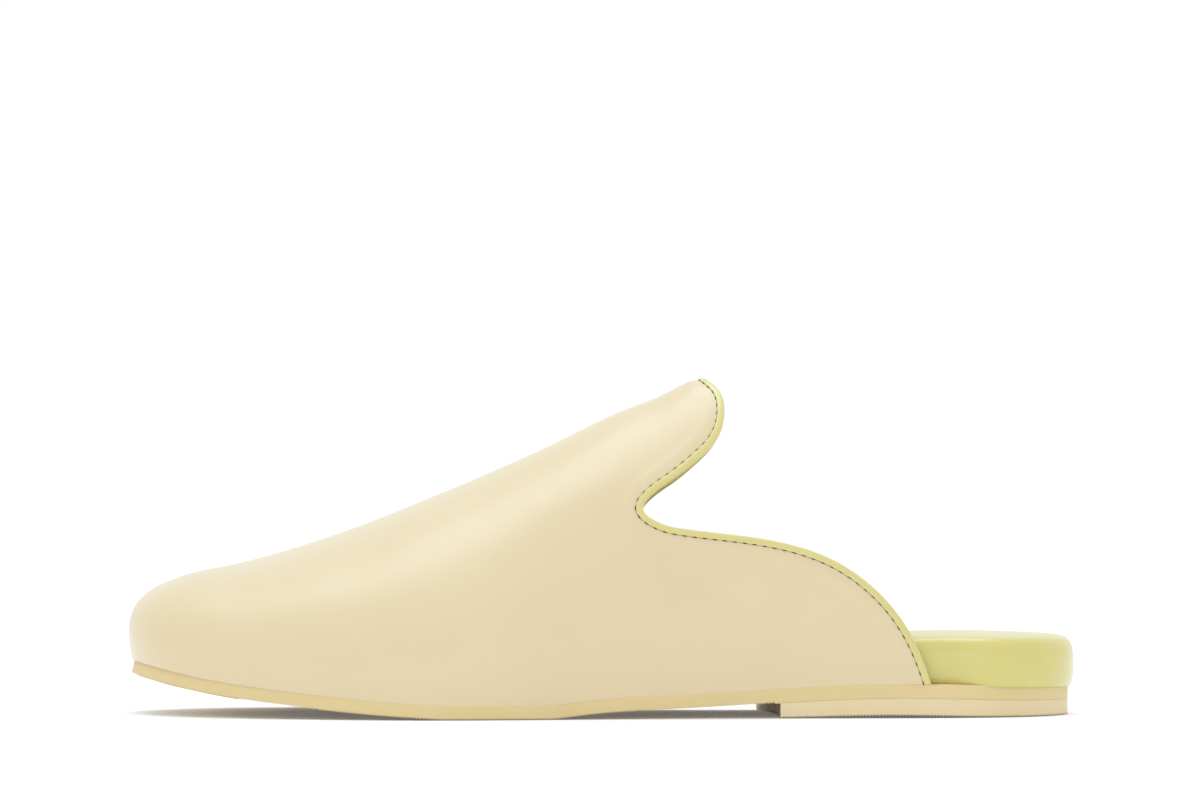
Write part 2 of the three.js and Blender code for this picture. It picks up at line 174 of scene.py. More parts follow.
def spline_through(at, value):
    """A natural cubic curve through one column of a table, held level past its ends."""
    at = np.array(at, float)
    value = np.array(value, float)
    gap = np.diff(at)
    rows = len(at)
    system = np.eye(rows)
    turn = np.zeros(rows)
    for i in range(1, rows - 1):
        system[i, i - 1 : i + 2] = gap[i - 1], 2 * (gap[i - 1] + gap[i]), gap[i]
        turn[i] = 6 * ((value[i + 1] - value[i]) / gap[i] - (value[i] - value[i - 1]) / gap[i - 1])
    bend = np.linalg.solve(system, turn)

    def curve(where):
        place = np.clip(where, at[0], at[-1])
        i = np.clip(np.searchsorted(at, place, side="right") - 1, 0, rows - 2)
        near = (at[i + 1] - place) / gap[i]
        far = 1 - near
        bent = (near**3 - near) * bend[i] + (far**3 - far) * bend[i + 1]
        return near * value[i] + far * value[i + 1] + bent * gap[i] ** 2 / 6

    return curve


def turn_of(along):
    return np.arccos(1 - 2 * np.clip(along, 0, 1))


def along_at(angle):
    return (1 - np.cos(angle)) / 2


plan_width = (
    HEEL_WIDTH * np.array(PLAN["heel"])
    + WAIST_WIDTH * np.array(PLAN["waist"])
    + BALL_WIDTH * np.array(PLAN["ball"])
    + TOE_WIDTH * np.array(PLAN["toe"])
)
width_at = spline_through(turn_of(np.array(PLAN["along"])), plan_width)
middle_at = spline_through(PLAN["along"], PLAN["middle"])
seat_share = spline_through(UNDERSIDE["along"], UNDERSIDE["seat"])
toe_share = spline_through(UNDERSIDE["along"], UNDERSIDE["toe"])


def outline(angle, offset=0):
    """The sole's edge from above, by an angle that is 0 at the back and PI at the toe, moved outward."""

    def edge(turned):
        outer = turned <= np.pi
        along = along_at(turned)
        half = width_at(np.where(outer, turned, 2 * np.pi - turned)) / 2
        across = OUTWARD_SWING * middle_at(along) + np.where(outer, half, -half)
        return np.stack([SOLE_LENGTH * along, across], -1)

    angle = np.asarray(angle, float)
    onward = edge(angle + ANGLE_STEP) - edge(angle - ANGLE_STEP)
    onward /= np.linalg.norm(onward, axis=-1, keepdims=True)
    outward = np.stack([-onward[..., 1], onward[..., 0]], -1)
    return edge(angle) + outward * np.asarray(offset, float)[..., None]


def underside(x):
    along = x / SOLE_LENGTH
    return np.maximum(0, SEAT_HEIGHT * seat_share(along) + TOE_SPRING * toe_share(along))


def sole_tilt(x):
    middle = np.clip(x, SLOPE_STEP, SOLE_LENGTH - SLOPE_STEP)
    return np.arctan2(underside(middle + SLOPE_STEP) - underside(middle - SLOPE_STEP), 2 * SLOPE_STEP)


def sole_top(x):
    return underside(x) + SOLE_THICKNESS / np.cos(sole_tilt(x))


sole_low, sole_high = (np.array(corner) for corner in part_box("sole"))
BACK_OF_HEEL = sole_high[0]
MIDDLE_LINE = sole_low[1] + outline(np.linspace(0, 2 * np.pi, OUTLINE_SAMPLES))[:, 1].max()


def placed(points):
    """From the last's own axes, x from the heel to the toe and y outward, to the frame's."""
    points = np.asarray(points, float)
    return np.stack([BACK_OF_HEEL - points[..., 0], MIDDLE_LINE - points[..., 1], points[..., 2]], -1)


def tread_stations(last_along):
    """Shares of the length: close ones where the outline turns round the back, then half a tread apart."""
    halves = np.arange(0, SOLE_LENGTH * last_along, TREAD_PITCH / 2) / SOLE_LENGTH
    ends = along_at(np.radians(np.arange(0, ROUND_END_DEG, ROUND_STEP_DEG)))
    halves = halves[(halves > ends[-1]) & (halves < min(last_along, 1 - ends[-1]))]
    return ends, halves


def loft(rings, close_end=True):
    """Faces over closed rings of one length, with rungs from side to side over the ends."""
    count = len(rings[0])
    faces = []
    for ring in range(len(rings) - 1):
        for i in range(count):
            after = (i + 1) % count
            a, b = ring * count + i, ring * count + after
            faces.append((a, b, b + count, a + count))
    ends = [(0, True)]
    if close_end:
        ends.append(((len(rings) - 1) * count, False))
    for start, flip in ends:
        for i in range((count - 1) // 2):
            rung = [start + i, start + i + 1, start + count - 2 - i, start + count - 1 - i]
            faces.append(tuple(reversed(rung)) if flip else tuple(rung))
    return faces


end_alongs, tread_alongs = tread_stations(1)
half_angles = np.concatenate([turn_of(end_alongs), turn_of(tread_alongs), np.pi - turn_of(end_alongs)[::-1]])
half_angles[0] = FIRST_TURN
half_angles[-1] = np.pi - FIRST_TURN
sole_angles = np.concatenate([half_angles, 2 * np.pi - half_angles[::-1]])
SOLE_EDGE = (
    # inset from the outline in mm, share of the way up, share of the tread's depth
    (1.4, 0, 1),
    (0.03, 0, 1),
    (0, 0.01, 1),
    (0, 0.2, 0),
    (0, 0.5, 0),
    (0, 0.96, 0),
    (0.02, 0.99, 0),
    (0.08, 1, 0),
    (3.2, 1, 0),
)
sole_rings = []
for inset, up, _ in SOLE_EDGE:
    edge = outline(sole_angles, np.full(len(sole_angles), -inset * MM))
    tilt = sole_tilt(edge[:, 0])
    lift = up * SOLE_THICKNESS
    x = edge[:, 0] - np.sin(tilt) * lift
    z = underside(edge[:, 0]) + np.cos(tilt) * lift
    sole_rings.append(np.stack([x, edge[:, 1], z], -1))


def tread_tree():
    """A node tree that presses fine ribs across a piece, as deep as its tread attribute says."""
    tree = bpy.data.node_groups.new("tread_ribs", "GeometryNodeTree")
    make = tree.interface.new_socket
    make("Geometry", in_out="INPUT", socket_type="NodeSocketGeometry")
    for name in ("Rib Pitch", "Rib Depth", "First Rib"):
        make(name, in_out="INPUT", socket_type="NodeSocketFloat")
    make("Material", in_out="INPUT", socket_type="NodeSocketMaterial")
    make("Geometry", in_out="OUTPUT", socket_type="NodeSocketGeometry")
    nodes, links = tree.nodes, tree.links
    given, result = nodes.new("NodeGroupInput"), nodes.new("NodeGroupOutput")
    place, apart = nodes.new("GeometryNodeInputPosition"), nodes.new("ShaderNodeSeparateXYZ")
    links.new(place.outputs["Position"], apart.inputs["Vector"])

    def sum_of(operation, first, second):
        node = nodes.new("ShaderNodeMath")
        node.operation = operation
        for socket, value in zip(node.inputs, (first, second)):
            if isinstance(value, (int, float)):
                socket.default_value = value
            else:
                links.new(value, socket)
        return node.outputs[0]

    run = sum_of("SUBTRACT", given.outputs["First Rib"], apart.outputs["X"])
    half = sum_of("MULTIPLY", given.outputs["Rib Pitch"], 0.5)
    wave = sum_of("DIVIDE", sum_of("PINGPONG", run, half), half)
    share = nodes.new("GeometryNodeInputNamedAttribute")
    share.inputs["Name"].default_value = "tread"
    depth = sum_of("MULTIPLY", wave, given.outputs["Rib Depth"])
    lift = sum_of("MULTIPLY", depth, share.outputs["Attribute"])
    move, shift = nodes.new("GeometryNodeSetPosition"), nodes.new("ShaderNodeCombineXYZ")
    links.new(lift, shift.inputs["Z"])
    links.new(given.outputs["Geometry"], move.inputs["Geometry"])
    links.new(shift.outputs["Vector"], move.inputs["Offset"])
    whole, finish = nodes.new("GeometryNodeRealizeInstances"), nodes.new("GeometryNodeSetMaterial")
    links.new(move.outputs["Geometry"], whole.inputs["Geometry"])
    links.new(whole.outputs["Geometry"], finish.inputs["Geometry"])
    links.new(given.outputs["Material"], finish.inputs["Material"])
    first_slot, same = nodes.new("GeometryNodeInputMaterialIndex"), nodes.new("FunctionNodeCompare")
    same.data_type = "INT"
    same.operation = "EQUAL"
    whole_numbers = [socket for socket in same.inputs if socket.type == "INT"]
    links.new(first_slot.outputs["Material Index"], whole_numbers[0])
    links.new(same.outputs["Result"], finish.inputs["Selection"])
    links.new(finish.outputs["Geometry"], result.inputs["Geometry"])
    return tree


def add_nodes(piece, tree, **values):
    """Runs a node tree on a piece with these inputs, and keeps the result as the piece's plain mesh."""
    modifier = piece.modifiers.new(tree.name, "NODES")
    modifier.node_group = tree
    for item in tree.interface.items_tree:
        name = item.name.replace(" ", "_")
        if item.in_out == "INPUT" and name in values:
            modifier[item.identifier] = values[name]
    bpy.context.view_layer.update()
    graph = bpy.context.evaluated_depsgraph_get()
    made = bpy.data.meshes.new_from_object(
        piece.evaluated_get(graph), preserve_all_data_layers=True, depsgraph=graph
    )
    piece.modifiers.remove(modifier)
    piece.data = made


tread_ribs = tread_tree()


def press_tread(piece, share, rubber):
    """Presses the ribs into a piece, as deep at each of its points as the given share of their depth."""
    tread = piece.data.attributes.new("tread", "FLOAT", "POINT")
    tread.data.foreach_set("value", share)
    add_nodes(
        piece,
        tread_ribs,
        Rib_Pitch=TREAD_PITCH,
        Rib_Depth=TREAD_DEPTH,
        First_Rib=BACK_OF_HEEL,
        Material=rubber,
    )


GLOSSIER = -0.05
DULLER = 0.06
RELIEF_DEPTH = 0.05 * MM


def surface_group():
    """A node group for fine leather and rubber skin: pores, a soft mottle and their height."""
    group = bpy.data.node_groups.new("skin_texture", "ShaderNodeTree")
    make = group.interface.new_socket
    make("Vector", in_out="INPUT", socket_type="NodeSocketVector")
    for name, value in (("Pore Size", 0.6 * MM), ("Mottle Size", 14 * MM), ("Pore Share", 0.6)):
        make(name, in_out="INPUT", socket_type="NodeSocketFloat").default_value = value
    for name in ("Height", "Mottle", "Pores"):
        make(name, in_out="OUTPUT", socket_type="NodeSocketFloat")
    nodes, links = group.nodes, group.links
    given, result = nodes.new("NodeGroupInput"), nodes.new("NodeGroupOutput")

    def scale_from(size):
        per = nodes.new("ShaderNodeMath")
        per.operation = "DIVIDE"
        per.inputs[0].default_value = 1
        links.new(given.outputs[size], per.inputs[1])
        return per.outputs[0]

    pores = nodes.new("ShaderNodeTexVoronoi")
    pores.feature = "SMOOTH_F1"
    pores.inputs["Smoothness"].default_value = 0.6
    links.new(given.outputs["Vector"], pores.inputs["Vector"])
    links.new(scale_from("Pore Size"), pores.inputs["Scale"])
    fine = nodes.new("ShaderNodeTexNoise")
    fine.inputs["Detail"].default_value = 5
    links.new(given.outputs["Vector"], fine.inputs["Vector"])
    links.new(scale_from("Pore Size"), fine.inputs["Scale"])
    mottle = nodes.new("ShaderNodeTexNoise")
    mottle.inputs["Detail"].default_value = 4
    mottle.inputs["Roughness"].default_value = 0.55
    links.new(given.outputs["Vector"], mottle.inputs["Vector"])
    links.new(scale_from("Mottle Size"), mottle.inputs["Scale"])
    height = nodes.new("ShaderNodeMix")
    height.data_type = "FLOAT"
    links.new(given.outputs["Pore Share"], height.inputs["Factor"])
    links.new(fine.outputs["Fac"], height.inputs["A"])
    links.new(pores.outputs["Distance"], height.inputs["B"])
    links.new(height.outputs["Result"], result.inputs["Height"])
    links.new(mottle.outputs["Fac"], result.inputs["Mottle"])
    links.new(pores.outputs["Distance"], result.inputs["Pores"])
    return group


skin_texture = surface_group()


def skin_material(name, light, dark, rough, pore_size, bump, mottle_size=14 * MM, pore_share=0.6, **sockets):
    """A skin of two near tones, mottled, with its own grain. Tones are linear colours."""
    material, shader = new_material(name, **sockets)
    tree = material.node_tree
    where = tree.nodes.new("ShaderNodeTexCoord")
    skin = tree.nodes.new("ShaderNodeGroup")
    skin.node_tree = skin_texture
    skin.inputs["Pore Size"].default_value = pore_size
    skin.inputs["Mottle Size"].default_value = mottle_size
    skin.inputs["Pore Share"].default_value = pore_share
    tree.links.new(where.outputs["Object"], skin.inputs["Vector"])
    tone = tree.nodes.new("ShaderNodeMix")
    tone.data_type = "RGBA"
    tone.inputs["A"].default_value = (*dark, 1)
    tone.inputs["B"].default_value = (*light, 1)
    tree.links.new(skin.outputs["Mottle"], tone.inputs["Factor"])
    tree.links.new(tone.outputs["Result"], shader.inputs["Base Color"])
    gloss = tree.nodes.new("ShaderNodeMapRange")
    gloss.inputs["To Min"].default_value = rough + GLOSSIER
    gloss.inputs["To Max"].default_value = rough + DULLER
    tree.links.new(skin.outputs["Pores"], gloss.inputs["Value"])
    tree.links.new(gloss.outputs["Result"], shader.inputs["Roughness"])
    relief = tree.nodes.new("ShaderNodeBump")
    relief.inputs["Strength"].default_value = bump
    relief.inputs["Distance"].default_value = RELIEF_DEPTH
    tree.links.new(skin.outputs["Height"], relief.inputs["Height"])
    tree.links.new(relief.outputs["Normal"], shader.inputs["Normal"])
    return material


def close_up(piece):
    """Joins points that lie together and turns every face of a closed piece outward."""
    shell = bmesh.new()
    shell.from_mesh(piece.data)
    bmesh.ops.remove_doubles(shell, verts=shell.verts, dist=WELD)
    bmesh.ops.recalc_face_normals(shell, faces=shell.faces)
    if shell.calc_volume(signed=True) < 0:
        bmesh.ops.reverse_faces(shell, faces=shell.faces)
    shell.to_mesh(piece.data)
    shell.free()


sole_rubber = skin_material(
    "tan_sole_rubber", (0.685, 0.54, 0.272), (0.625, 0.487, 0.228), 0.5, 0.35 * MM, 0.25, 20 * MM, 0.3
)
sole = mesh_piece("sole_sheet", placed(np.concatenate(sole_rings)), loft(sole_rings), [sole_rubber])
bare = (along_at(sole_angles) * SOLE_LENGTH > HEEL_LENGTH + TREAD_PITCH).astype(float)
press_tread(sole, np.concatenate([share * bare for _, _, share in SOLE_EDGE]), sole_rubber)
close_up(sole)
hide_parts("sole")
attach(sole, "root")

# The heel: a low block of the same tan rubber under the back of the sole, glued on, with the same ribs
# below. Its hollow breast runs further forward on the inner side and keeps a coarse sawn grain.
BREAST_SKEW = 6 * MM
BREAST_HOLLOW = 2 * MM
BREAST_LIMIT = 1.05
FIRST_HEEL_TURN = 0.01
ACROSS_STEPS = 80
SAW_PITCH = 1.5 * MM
SAW_DEPTH = 0.3 * MM
WORN_ARCH = 0.65 * MM
WORN_MIDDLE = 54 * MM
WORN_WIDTH = 24 * MM
HEEL_EDGE = (
    # inset from the outline in mm, share of the way up, share of the tread's depth
    (0.03, 0, 1),
    (0, 0.01, 1),
    (0, 0.2, 0),
    (0, 0.4, 0),
    (0, 0.7, 0),
    (0, 0.96, 0),
    (0.02, 0.99, 0),
    (0.06, 1, 0),
)


def breast_stretch(y, middle):
    """How far the breast lies from the back at a place across, as a share of the heel's length."""
    share = np.clip(2 * (y - middle) / HEEL_WIDTH, -BREAST_LIMIT, BREAST_LIMIT)
    skew = BREAST_SKEW * (1 - share) / 2
    return 1 + (skew - BREAST_HOLLOW * (1 - share**2)) / HEEL_LENGTH


def worn_height(x):
    """How high the worn middle of the heel's underside stands over the floor."""
    return WORN_ARCH * np.exp(-(((x - WORN_MIDDLE) / WORN_WIDTH) ** 2))


end_alongs, heel_alongs = tread_stations(HEEL_LENGTH / SOLE_LENGTH)
heel_angles = np.concatenate([turn_of(end_alongs), turn_of(heel_alongs)])
heel_angles[0] = FIRST_HEEL_TURN
levels = len(HEEL_EDGE)
edge_inset = np.array([inset for inset, _, _ in HEEL_EDGE]) * MM
edge_up = np.array([up for _, up, _ in HEEL_EDGE])
edge_tread = [share for _, _, share in HEEL_EDGE]
ring_size = 2 * levels + 2 * (ACROSS_STEPS - 1)
across_share = np.linspace(0, 1, ACROSS_STEPS + 1)[1:-1, None]
heel_points = []
for angle in heel_angles:
    columns = []
    for turned in (angle, 2 * np.pi - angle):
        edge = outline(np.full(levels, turned), -edge_inset)
        middle = OUTWARD_SWING * middle_at(edge[:, 0] / SOLE_LENGTH)
        x = np.maximum(edge[:, 0], 0) * breast_stretch(edge[:, 1], middle)
        low = worn_height(x)
        columns.append(np.stack([x, edge[:, 1], low + edge_up * (underside(x) - JOINT_GAP - low)], -1))
    outer, inner = columns
    rows = []
    for level in (levels - 1, 0):
        row = outer[level] * (1 - across_share) + inner[level] * across_share
        middle = OUTWARD_SWING * middle_at(along_at(angle))
        row[:, 0] = SOLE_LENGTH * along_at(angle) * breast_stretch(row[:, 1], middle)
        if level:
            row[:, 2] = underside(row[:, 0]) - JOINT_GAP
        else:
            row[:, 2] = worn_height(row[:, 0])
        rows.append(row)
    heel_points.append(np.concatenate([outer, rows[0], inner[::-1], rows[1][::-1]]))
heel_faces = []
for station in range(len(heel_points) - 1):
    for i in range(ring_size):
        after = (i + 1) % ring_size
        a, b = station * ring_size + i, station * ring_size + after
        heel_faces.append((b, a, a + ring_size, b + ring_size))
for i in range(levels - 1):
    heel_faces.append((i, i + 1, 2 * levels + ACROSS_STEPS - 3 - i, 2 * levels + ACROSS_STEPS - 2 - i))
heel_faces.append(tuple(range(levels - 1, levels + ACROSS_STEPS)))
heel_faces.append((0, *range(ring_size - 1, ring_size - ACROSS_STEPS - 1, -1))[::-1])

# the breast closes the front, row by row between the outer and the inner corner
front = (len(heel_points) - 1) * ring_size
inside = len(heel_points) * ring_size
breast_points = []
for level in range(1, levels - 1):
    up = edge_up[level]
    for step in range(1, ACROSS_STEPS):
        top = heel_points[-1][levels + step - 1]
        bottom = heel_points[-1][ring_size - step]
        point = bottom * (1 - up) + top * up
        cut = 0.5 - 0.5 * math.cos(2 * math.pi * point[1] / SAW_PITCH)
        point[0] -= SAW_DEPTH * cut * math.sqrt(math.sin(math.pi * up))
        breast_points.append(point)


def breast_corner(step, level):
    """The number of the breast's point at a step across and a level up."""
    if step == 0:
        return front + level
    if step == ACROSS_STEPS:
        return front + 2 * levels + ACROSS_STEPS - 2 - level
    if level == levels - 1:
        return front + levels + step - 1
    if level == 0:
        return front + ring_size - step
    return inside + (level - 1) * (ACROSS_STEPS - 1) + step - 1


side_faces = len(heel_faces)
for level in range(levels - 1):
    for step in range(ACROSS_STEPS):
        corners = (step, level), (step, level + 1), (step + 1, level + 1), (step + 1, level)
        heel_faces.append(tuple(breast_corner(*corner) for corner in corners)[::-1])
heel_rubber = skin_material(
    "tan_heel_rubber", (0.72, 0.595, 0.36), (0.67, 0.545, 0.315), 0.5, 0.35 * MM, 0.25, 20 * MM, 0.3
)
sawn_rubber = skin_material(
    "sawn_breast_rubber", (0.95, 0.88, 0.74), (0.3, 0.26, 0.2), 0.8, 0.5 * MM, 0.8, 0.7 * MM, 0.2
)
heel = mesh_piece(
    "heel_block",
    placed(np.concatenate([*heel_points, breast_points])),
    heel_faces,
    [heel_rubber, sawn_rubber],
    [0] * side_faces + [1] * (len(heel_faces) - side_faces),
)
ring_tread = edge_tread + [0] * (ACROSS_STEPS - 1) + edge_tread[::-1] + [1] * (ACROSS_STEPS - 1)
heel_tread = ring_tread * len(heel_points) + [0] * len(breast_points)
press_tread(heel, np.array(heel_tread, float), heel_rubber)
close_up(heel)
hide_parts("heel")
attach(heel, "root")

# The footbed: a thick pad of foam wrapped in soft chartreuse leather, glued on the sole. It stands out
# over the sole's edge round the heel, and a cloth simulation swells its cover a little.
HEEL_PAD = 14.3 * MM
BALL_PAD = 7 * MM
TOE_PAD = 4.5 * MM
PAD_OVERHANG = 2.1 * MM
PAD_ROUNDING = 16 * MM
FEATHER_INSET = 0.02 * MM
UPPER_WALL = 1.7 * MM
BINDING_STEP = 0.4 * MM
LASTING_ROOM = 0.5 * MM
PAD_TUCK_FRONT = 0.148
PAD_TUCK_BACK = 0.075
PAD_STATIONS = 260
BACK_SHARE = 1.09
SEAT_SHARE = 1.005
PAD = {
    "along": (0, 0.17, 0.35, 0.62, 1),
    "thickness": (BACK_SHARE * HEEL_PAD, SEAT_SHARE * HEEL_PAD, (HEEL_PAD + BALL_PAD) / 2, BALL_PAD, TOE_PAD),
}
PAD_EDGE = {
    "inset": (0.17, 0.13, 0.095, 0.055, 0.018, 0, 0.004, 0.045, 0.14, 0.34, 0.68, 1),
    "up": (0, -0.03, -0.035, 0.03, 0.17, 0.4, 0.62, 0.8, 0.92, 0.975, 0.995, 1),
}
PAD_ROWS = 44
PAD_SWELL = 0.5 * MM
PAD_ACROSS = 24
PAD_VOXEL = 4 * MM
PAD_PRESSURE = 4
PAD_MOVE = 0.45 * MM
PAD_HELD = 6 * MM
NEAR_POINTS = 8
NEAR_SOFTENING = 1 * MM
LEAST_MOVE = 1e-9
LAST_FRAME = 20
pad_run = np.linspace(0, 1, len(PAD_EDGE["up"]))
pad_inset = spline_through(pad_run, PAD_EDGE["inset"])
pad_up = spline_through(pad_run, PAD_EDGE["up"])
pad_thickness = spline_through(PAD["along"], PAD["thickness"])
pad_angles = (np.arange(2 * PAD_STATIONS) + 0.5) * np.pi / PAD_STATIONS
tucked = -(FEATHER_INSET + UPPER_WALL + BINDING_STEP + LASTING_ROOM)
ease = np.clip((PAD_TUCK_FRONT - along_at(pad_angles)) / (PAD_TUCK_FRONT - PAD_TUCK_BACK), 0, 1)
ease = ease * ease * (3 - 2 * ease)
pad_rings = []
for run in np.linspace(0, 1, PAD_ROWS):
    reach = tucked * (1 - ease) + PAD_OVERHANG * ease - PAD_ROUNDING * pad_inset(run)
    edge = outline(pad_angles, reach)
    level = sole_top(edge[:, 0]) + JOINT_GAP
    up = pad_up(run)
    height = level + pad_thickness(edge[:, 0] / SOLE_LENGTH) * (up if up > 0 else up * ease)
    height -= PAD_SWELL * max(0, up)
    pad_rings.append(np.stack([edge[:, 0], edge[:, 1], height], -1))
pad_leather = skin_material(
    "chartreuse_pad_leather",
    (0.615, 0.54, 0.165),
    (0.565, 0.49, 0.138),
    0.36,
    0.5 * MM,
    0.3,
    18 * MM,
    Coat_Weight=0.5,
    Coat_Roughness=0.25,
    Sheen_Weight=0.15,
)


def crowned_loft(rings, across):
    """Points and faces over rings, whose last ring is closed by rungs of this many steps."""
    faces = loft(rings, close_end=False)
    points = list(np.concatenate(rings))
    ring = len(rings[0])
    first = (len(rings) - 1) * ring
    rungs = []
    for i in range(ring // 2):
        start, end = first + i, first + ring - 1 - i
        if i in (0, ring // 2 - 1):
            rungs.append([start, end])
            continue
        inner = range(len(points), len(points) + across - 1)
        points += [points[start] + (points[end] - points[start]) * step / across for step in range(1, across)]
        rungs.append([start, *inner, end])
    for near, far in zip(rungs, rungs[1:]):
        if len(near) == len(far):
            faces += [(near[j], far[j], far[j + 1], near[j + 1]) for j in range(across)]
        else:
            faces.append((*far, *near[::-1])[::-1])
    return np.array(points), faces


pad_points, pad_faces = crowned_loft(pad_rings, PAD_ACROSS)
pad = mesh_piece("padded_footbed", placed(pad_points), pad_faces, [pad_leather])
close_up(pad)


def mesh_points(mesh):
    points = np.zeros(len(mesh.vertices) * 3)
    mesh.vertices.foreach_get("co", points)
    return points.reshape(-1, 3)


def inflate(piece):
    """Swells a pad like stuffed cloth: an even copy is simulated under pressure, the piece follows it."""
    copy = bpy.data.objects.new("even_copy", piece.data.copy())
    bpy.context.collection.objects.link(copy)
    remesh = copy.modifiers.new("even_skin", "REMESH")
    remesh.mode = "VOXEL"
    remesh.voxel_size = PAD_VOXEL
    graph = bpy.context.evaluated_depsgraph_get()
    even = bpy.data.meshes.new_from_object(copy.evaluated_get(graph), depsgraph=graph)
    copy.modifiers.remove(remesh)
    copy.data = even
    start = mesh_points(even)
    cloth = copy.modifiers.new("foam", "CLOTH")
    cloth.settings.use_pressure = True
    cloth.settings.uniform_pressure_force = PAD_PRESSURE
    cloth.settings.effector_weights.gravity = 0
    cloth.point_cache.frame_start = 1
    cloth.point_cache.frame_end = LAST_FRAME
    for step in range(1, LAST_FRAME + 1):
        bpy.context.scene.frame_set(step)
    graph = bpy.context.evaluated_depsgraph_get()
    moved = mesh_points(copy.evaluated_get(graph).data) - start
    far = np.linalg.norm(moved, axis=1, keepdims=True)
    moved *= np.minimum(1, PAD_MOVE / np.maximum(far, LEAST_MOVE))
    bpy.context.scene.frame_set(1)
    bpy.data.objects.remove(copy)
    tree = KDTree(len(start))
    for i, point in enumerate(start):
        tree.insert(point, i)
    tree.balance()
    points = mesh_points(piece.data)
    low = np.array([sole_top(BACK_OF_HEEL - point[0]) for point in points]) + JOINT_GAP
    held = np.clip((points[:, 2] - low) / PAD_HELD, 0, 1)
    for i, point in enumerate(points):
        near = tree.find_n(point, NEAR_POINTS)
        weights = np.array([1 / (distance + NEAR_SOFTENING) ** 2 for _, _, distance in near])
        shift = (moved[[index for _, index, _ in near]] * weights[:, None]).sum(0) / weights.sum()
        points[i] += shift * held[i]
    piece.data.vertices.foreach_set("co", points.ravel())


inflate(pad)
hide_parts("footbed")
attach(pad, "root")

# The upper: one piece of smooth butter coloured calf, lined, and pulled over the last so that it bulges a
# little past the sole's edge. It is cut away behind into two quarters and a tall tongue.
INSTEP_HEIGHT = 96.5 * MM
TOE_BOX_HEIGHT = 34.4 * MM
SIDE_SWELL = 6.2 * MM
FAN_START = 0.7
FAN_END = 0.945
SPRING_START = 0.62
UPPER_BACK = 0.13
INNER_DROP = 2 * MM
LASTED_IN = 0.05 * MM
INNER_DROP_START = -2 * MM
INNER_DROP_END = -26 * MM
RIDGE = {
    "along": (
        0.12, 0.25, 0.355, 0.388, 0.404, 0.435, 0.467, 0.546,
        0.628, 0.709, 0.787, 0.851, 0.9, 0.935, 0.96,
    ),
    "rise": (0.9, 0.97, 1, 1, 0.985, 0.918, 0.861, 0.692, 0.524, 0.359, 0.198, 0.073, -0.016, -0.077, -0.137),
    "crest": (0.4, 0.45, 0.5, 0.5, 0.5, 0.5, 0.48, 0.4, 0.15, -0.12, -0.35, -0.5, -0.6, -0.66, -0.69),
}
RIBS = {
    "along": (0.12, 0.4, 0.55, 0.7, 0.85, 0.95, 1),
    "upright": (0.52, 0.58, 0.55, 0.51, 0.5, 0.5, 0.6),
    "swell": (0.6, 1.2, 1.15, 0.8, 0.75, 0.62, 0.47),
    "crown": (0.46, 0.46, 0.5, 0.53, 0.6, 0.75, 0.93),
}
TOPLINE = {
    "along": (
        0.144, 0.165, 0.1845, 0.215, 0.2545, 0.31, 0.365, 0.4125, 0.438,
        0.4535, 0.4463, 0.421, 0.3945, 0.3753, 0.367, 0.3712, 0.3855,
    ),
    "up": (
        0, 0.173, 0.2715, 0.368, 0.445, 0.499, 0.524, 0.541, 0.561,
        0.605, 0.638, 0.694, 0.7565, 0.8175, 0.8985, 0.9605, 1,
    ),
}
rise_at = spline_through(RIDGE["along"], RIDGE["rise"])
crest_at = spline_through(RIDGE["along"], RIDGE["crest"])
upright_at = spline_through(RIBS["along"], RIBS["upright"])
swell_at = spline_through(RIBS["along"], RIBS["swell"])
crown_at = spline_through(RIBS["along"], RIBS["crown"])
SHARE_STEP = 1e-3
TOPLINE_SAMPLES = 900
BELOW_TOPLINE = (-4 * MM, -30 * MM)
PAST_TOPLINE = (20 * MM, 18.5 * MM)


def ridge(x):
    """The line over the top of the upper."""
    along = x / SOLE_LENGTH
    sprung = np.maximum(0, (along - SPRING_START) / (1 - SPRING_START))
    height = TOE_BOX_HEIGHT + (INSTEP_HEIGHT - TOE_BOX_HEIGHT) * rise_at(along)
    z = SOLE_THICKNESS + TOE_SPRING * sprung**2 + height
    return np.stack([x, OUTWARD_SWING * crest_at(along), z], -1)


def ridge_station(x):
    """Where a rib meets the ridge: above its foot, until the toe's ribs fan out from the ridge's end."""
    start, end = FAN_START * SOLE_LENGTH, FAN_END * SOLE_LENGTH
    left = np.clip((SOLE_LENGTH - x) / (SOLE_LENGTH - start), 0, 1)
    fanned = end - (end - start) * left ** ((SOLE_LENGTH - start) / (end - start))
    return np.where(x <= start, x, fanned)


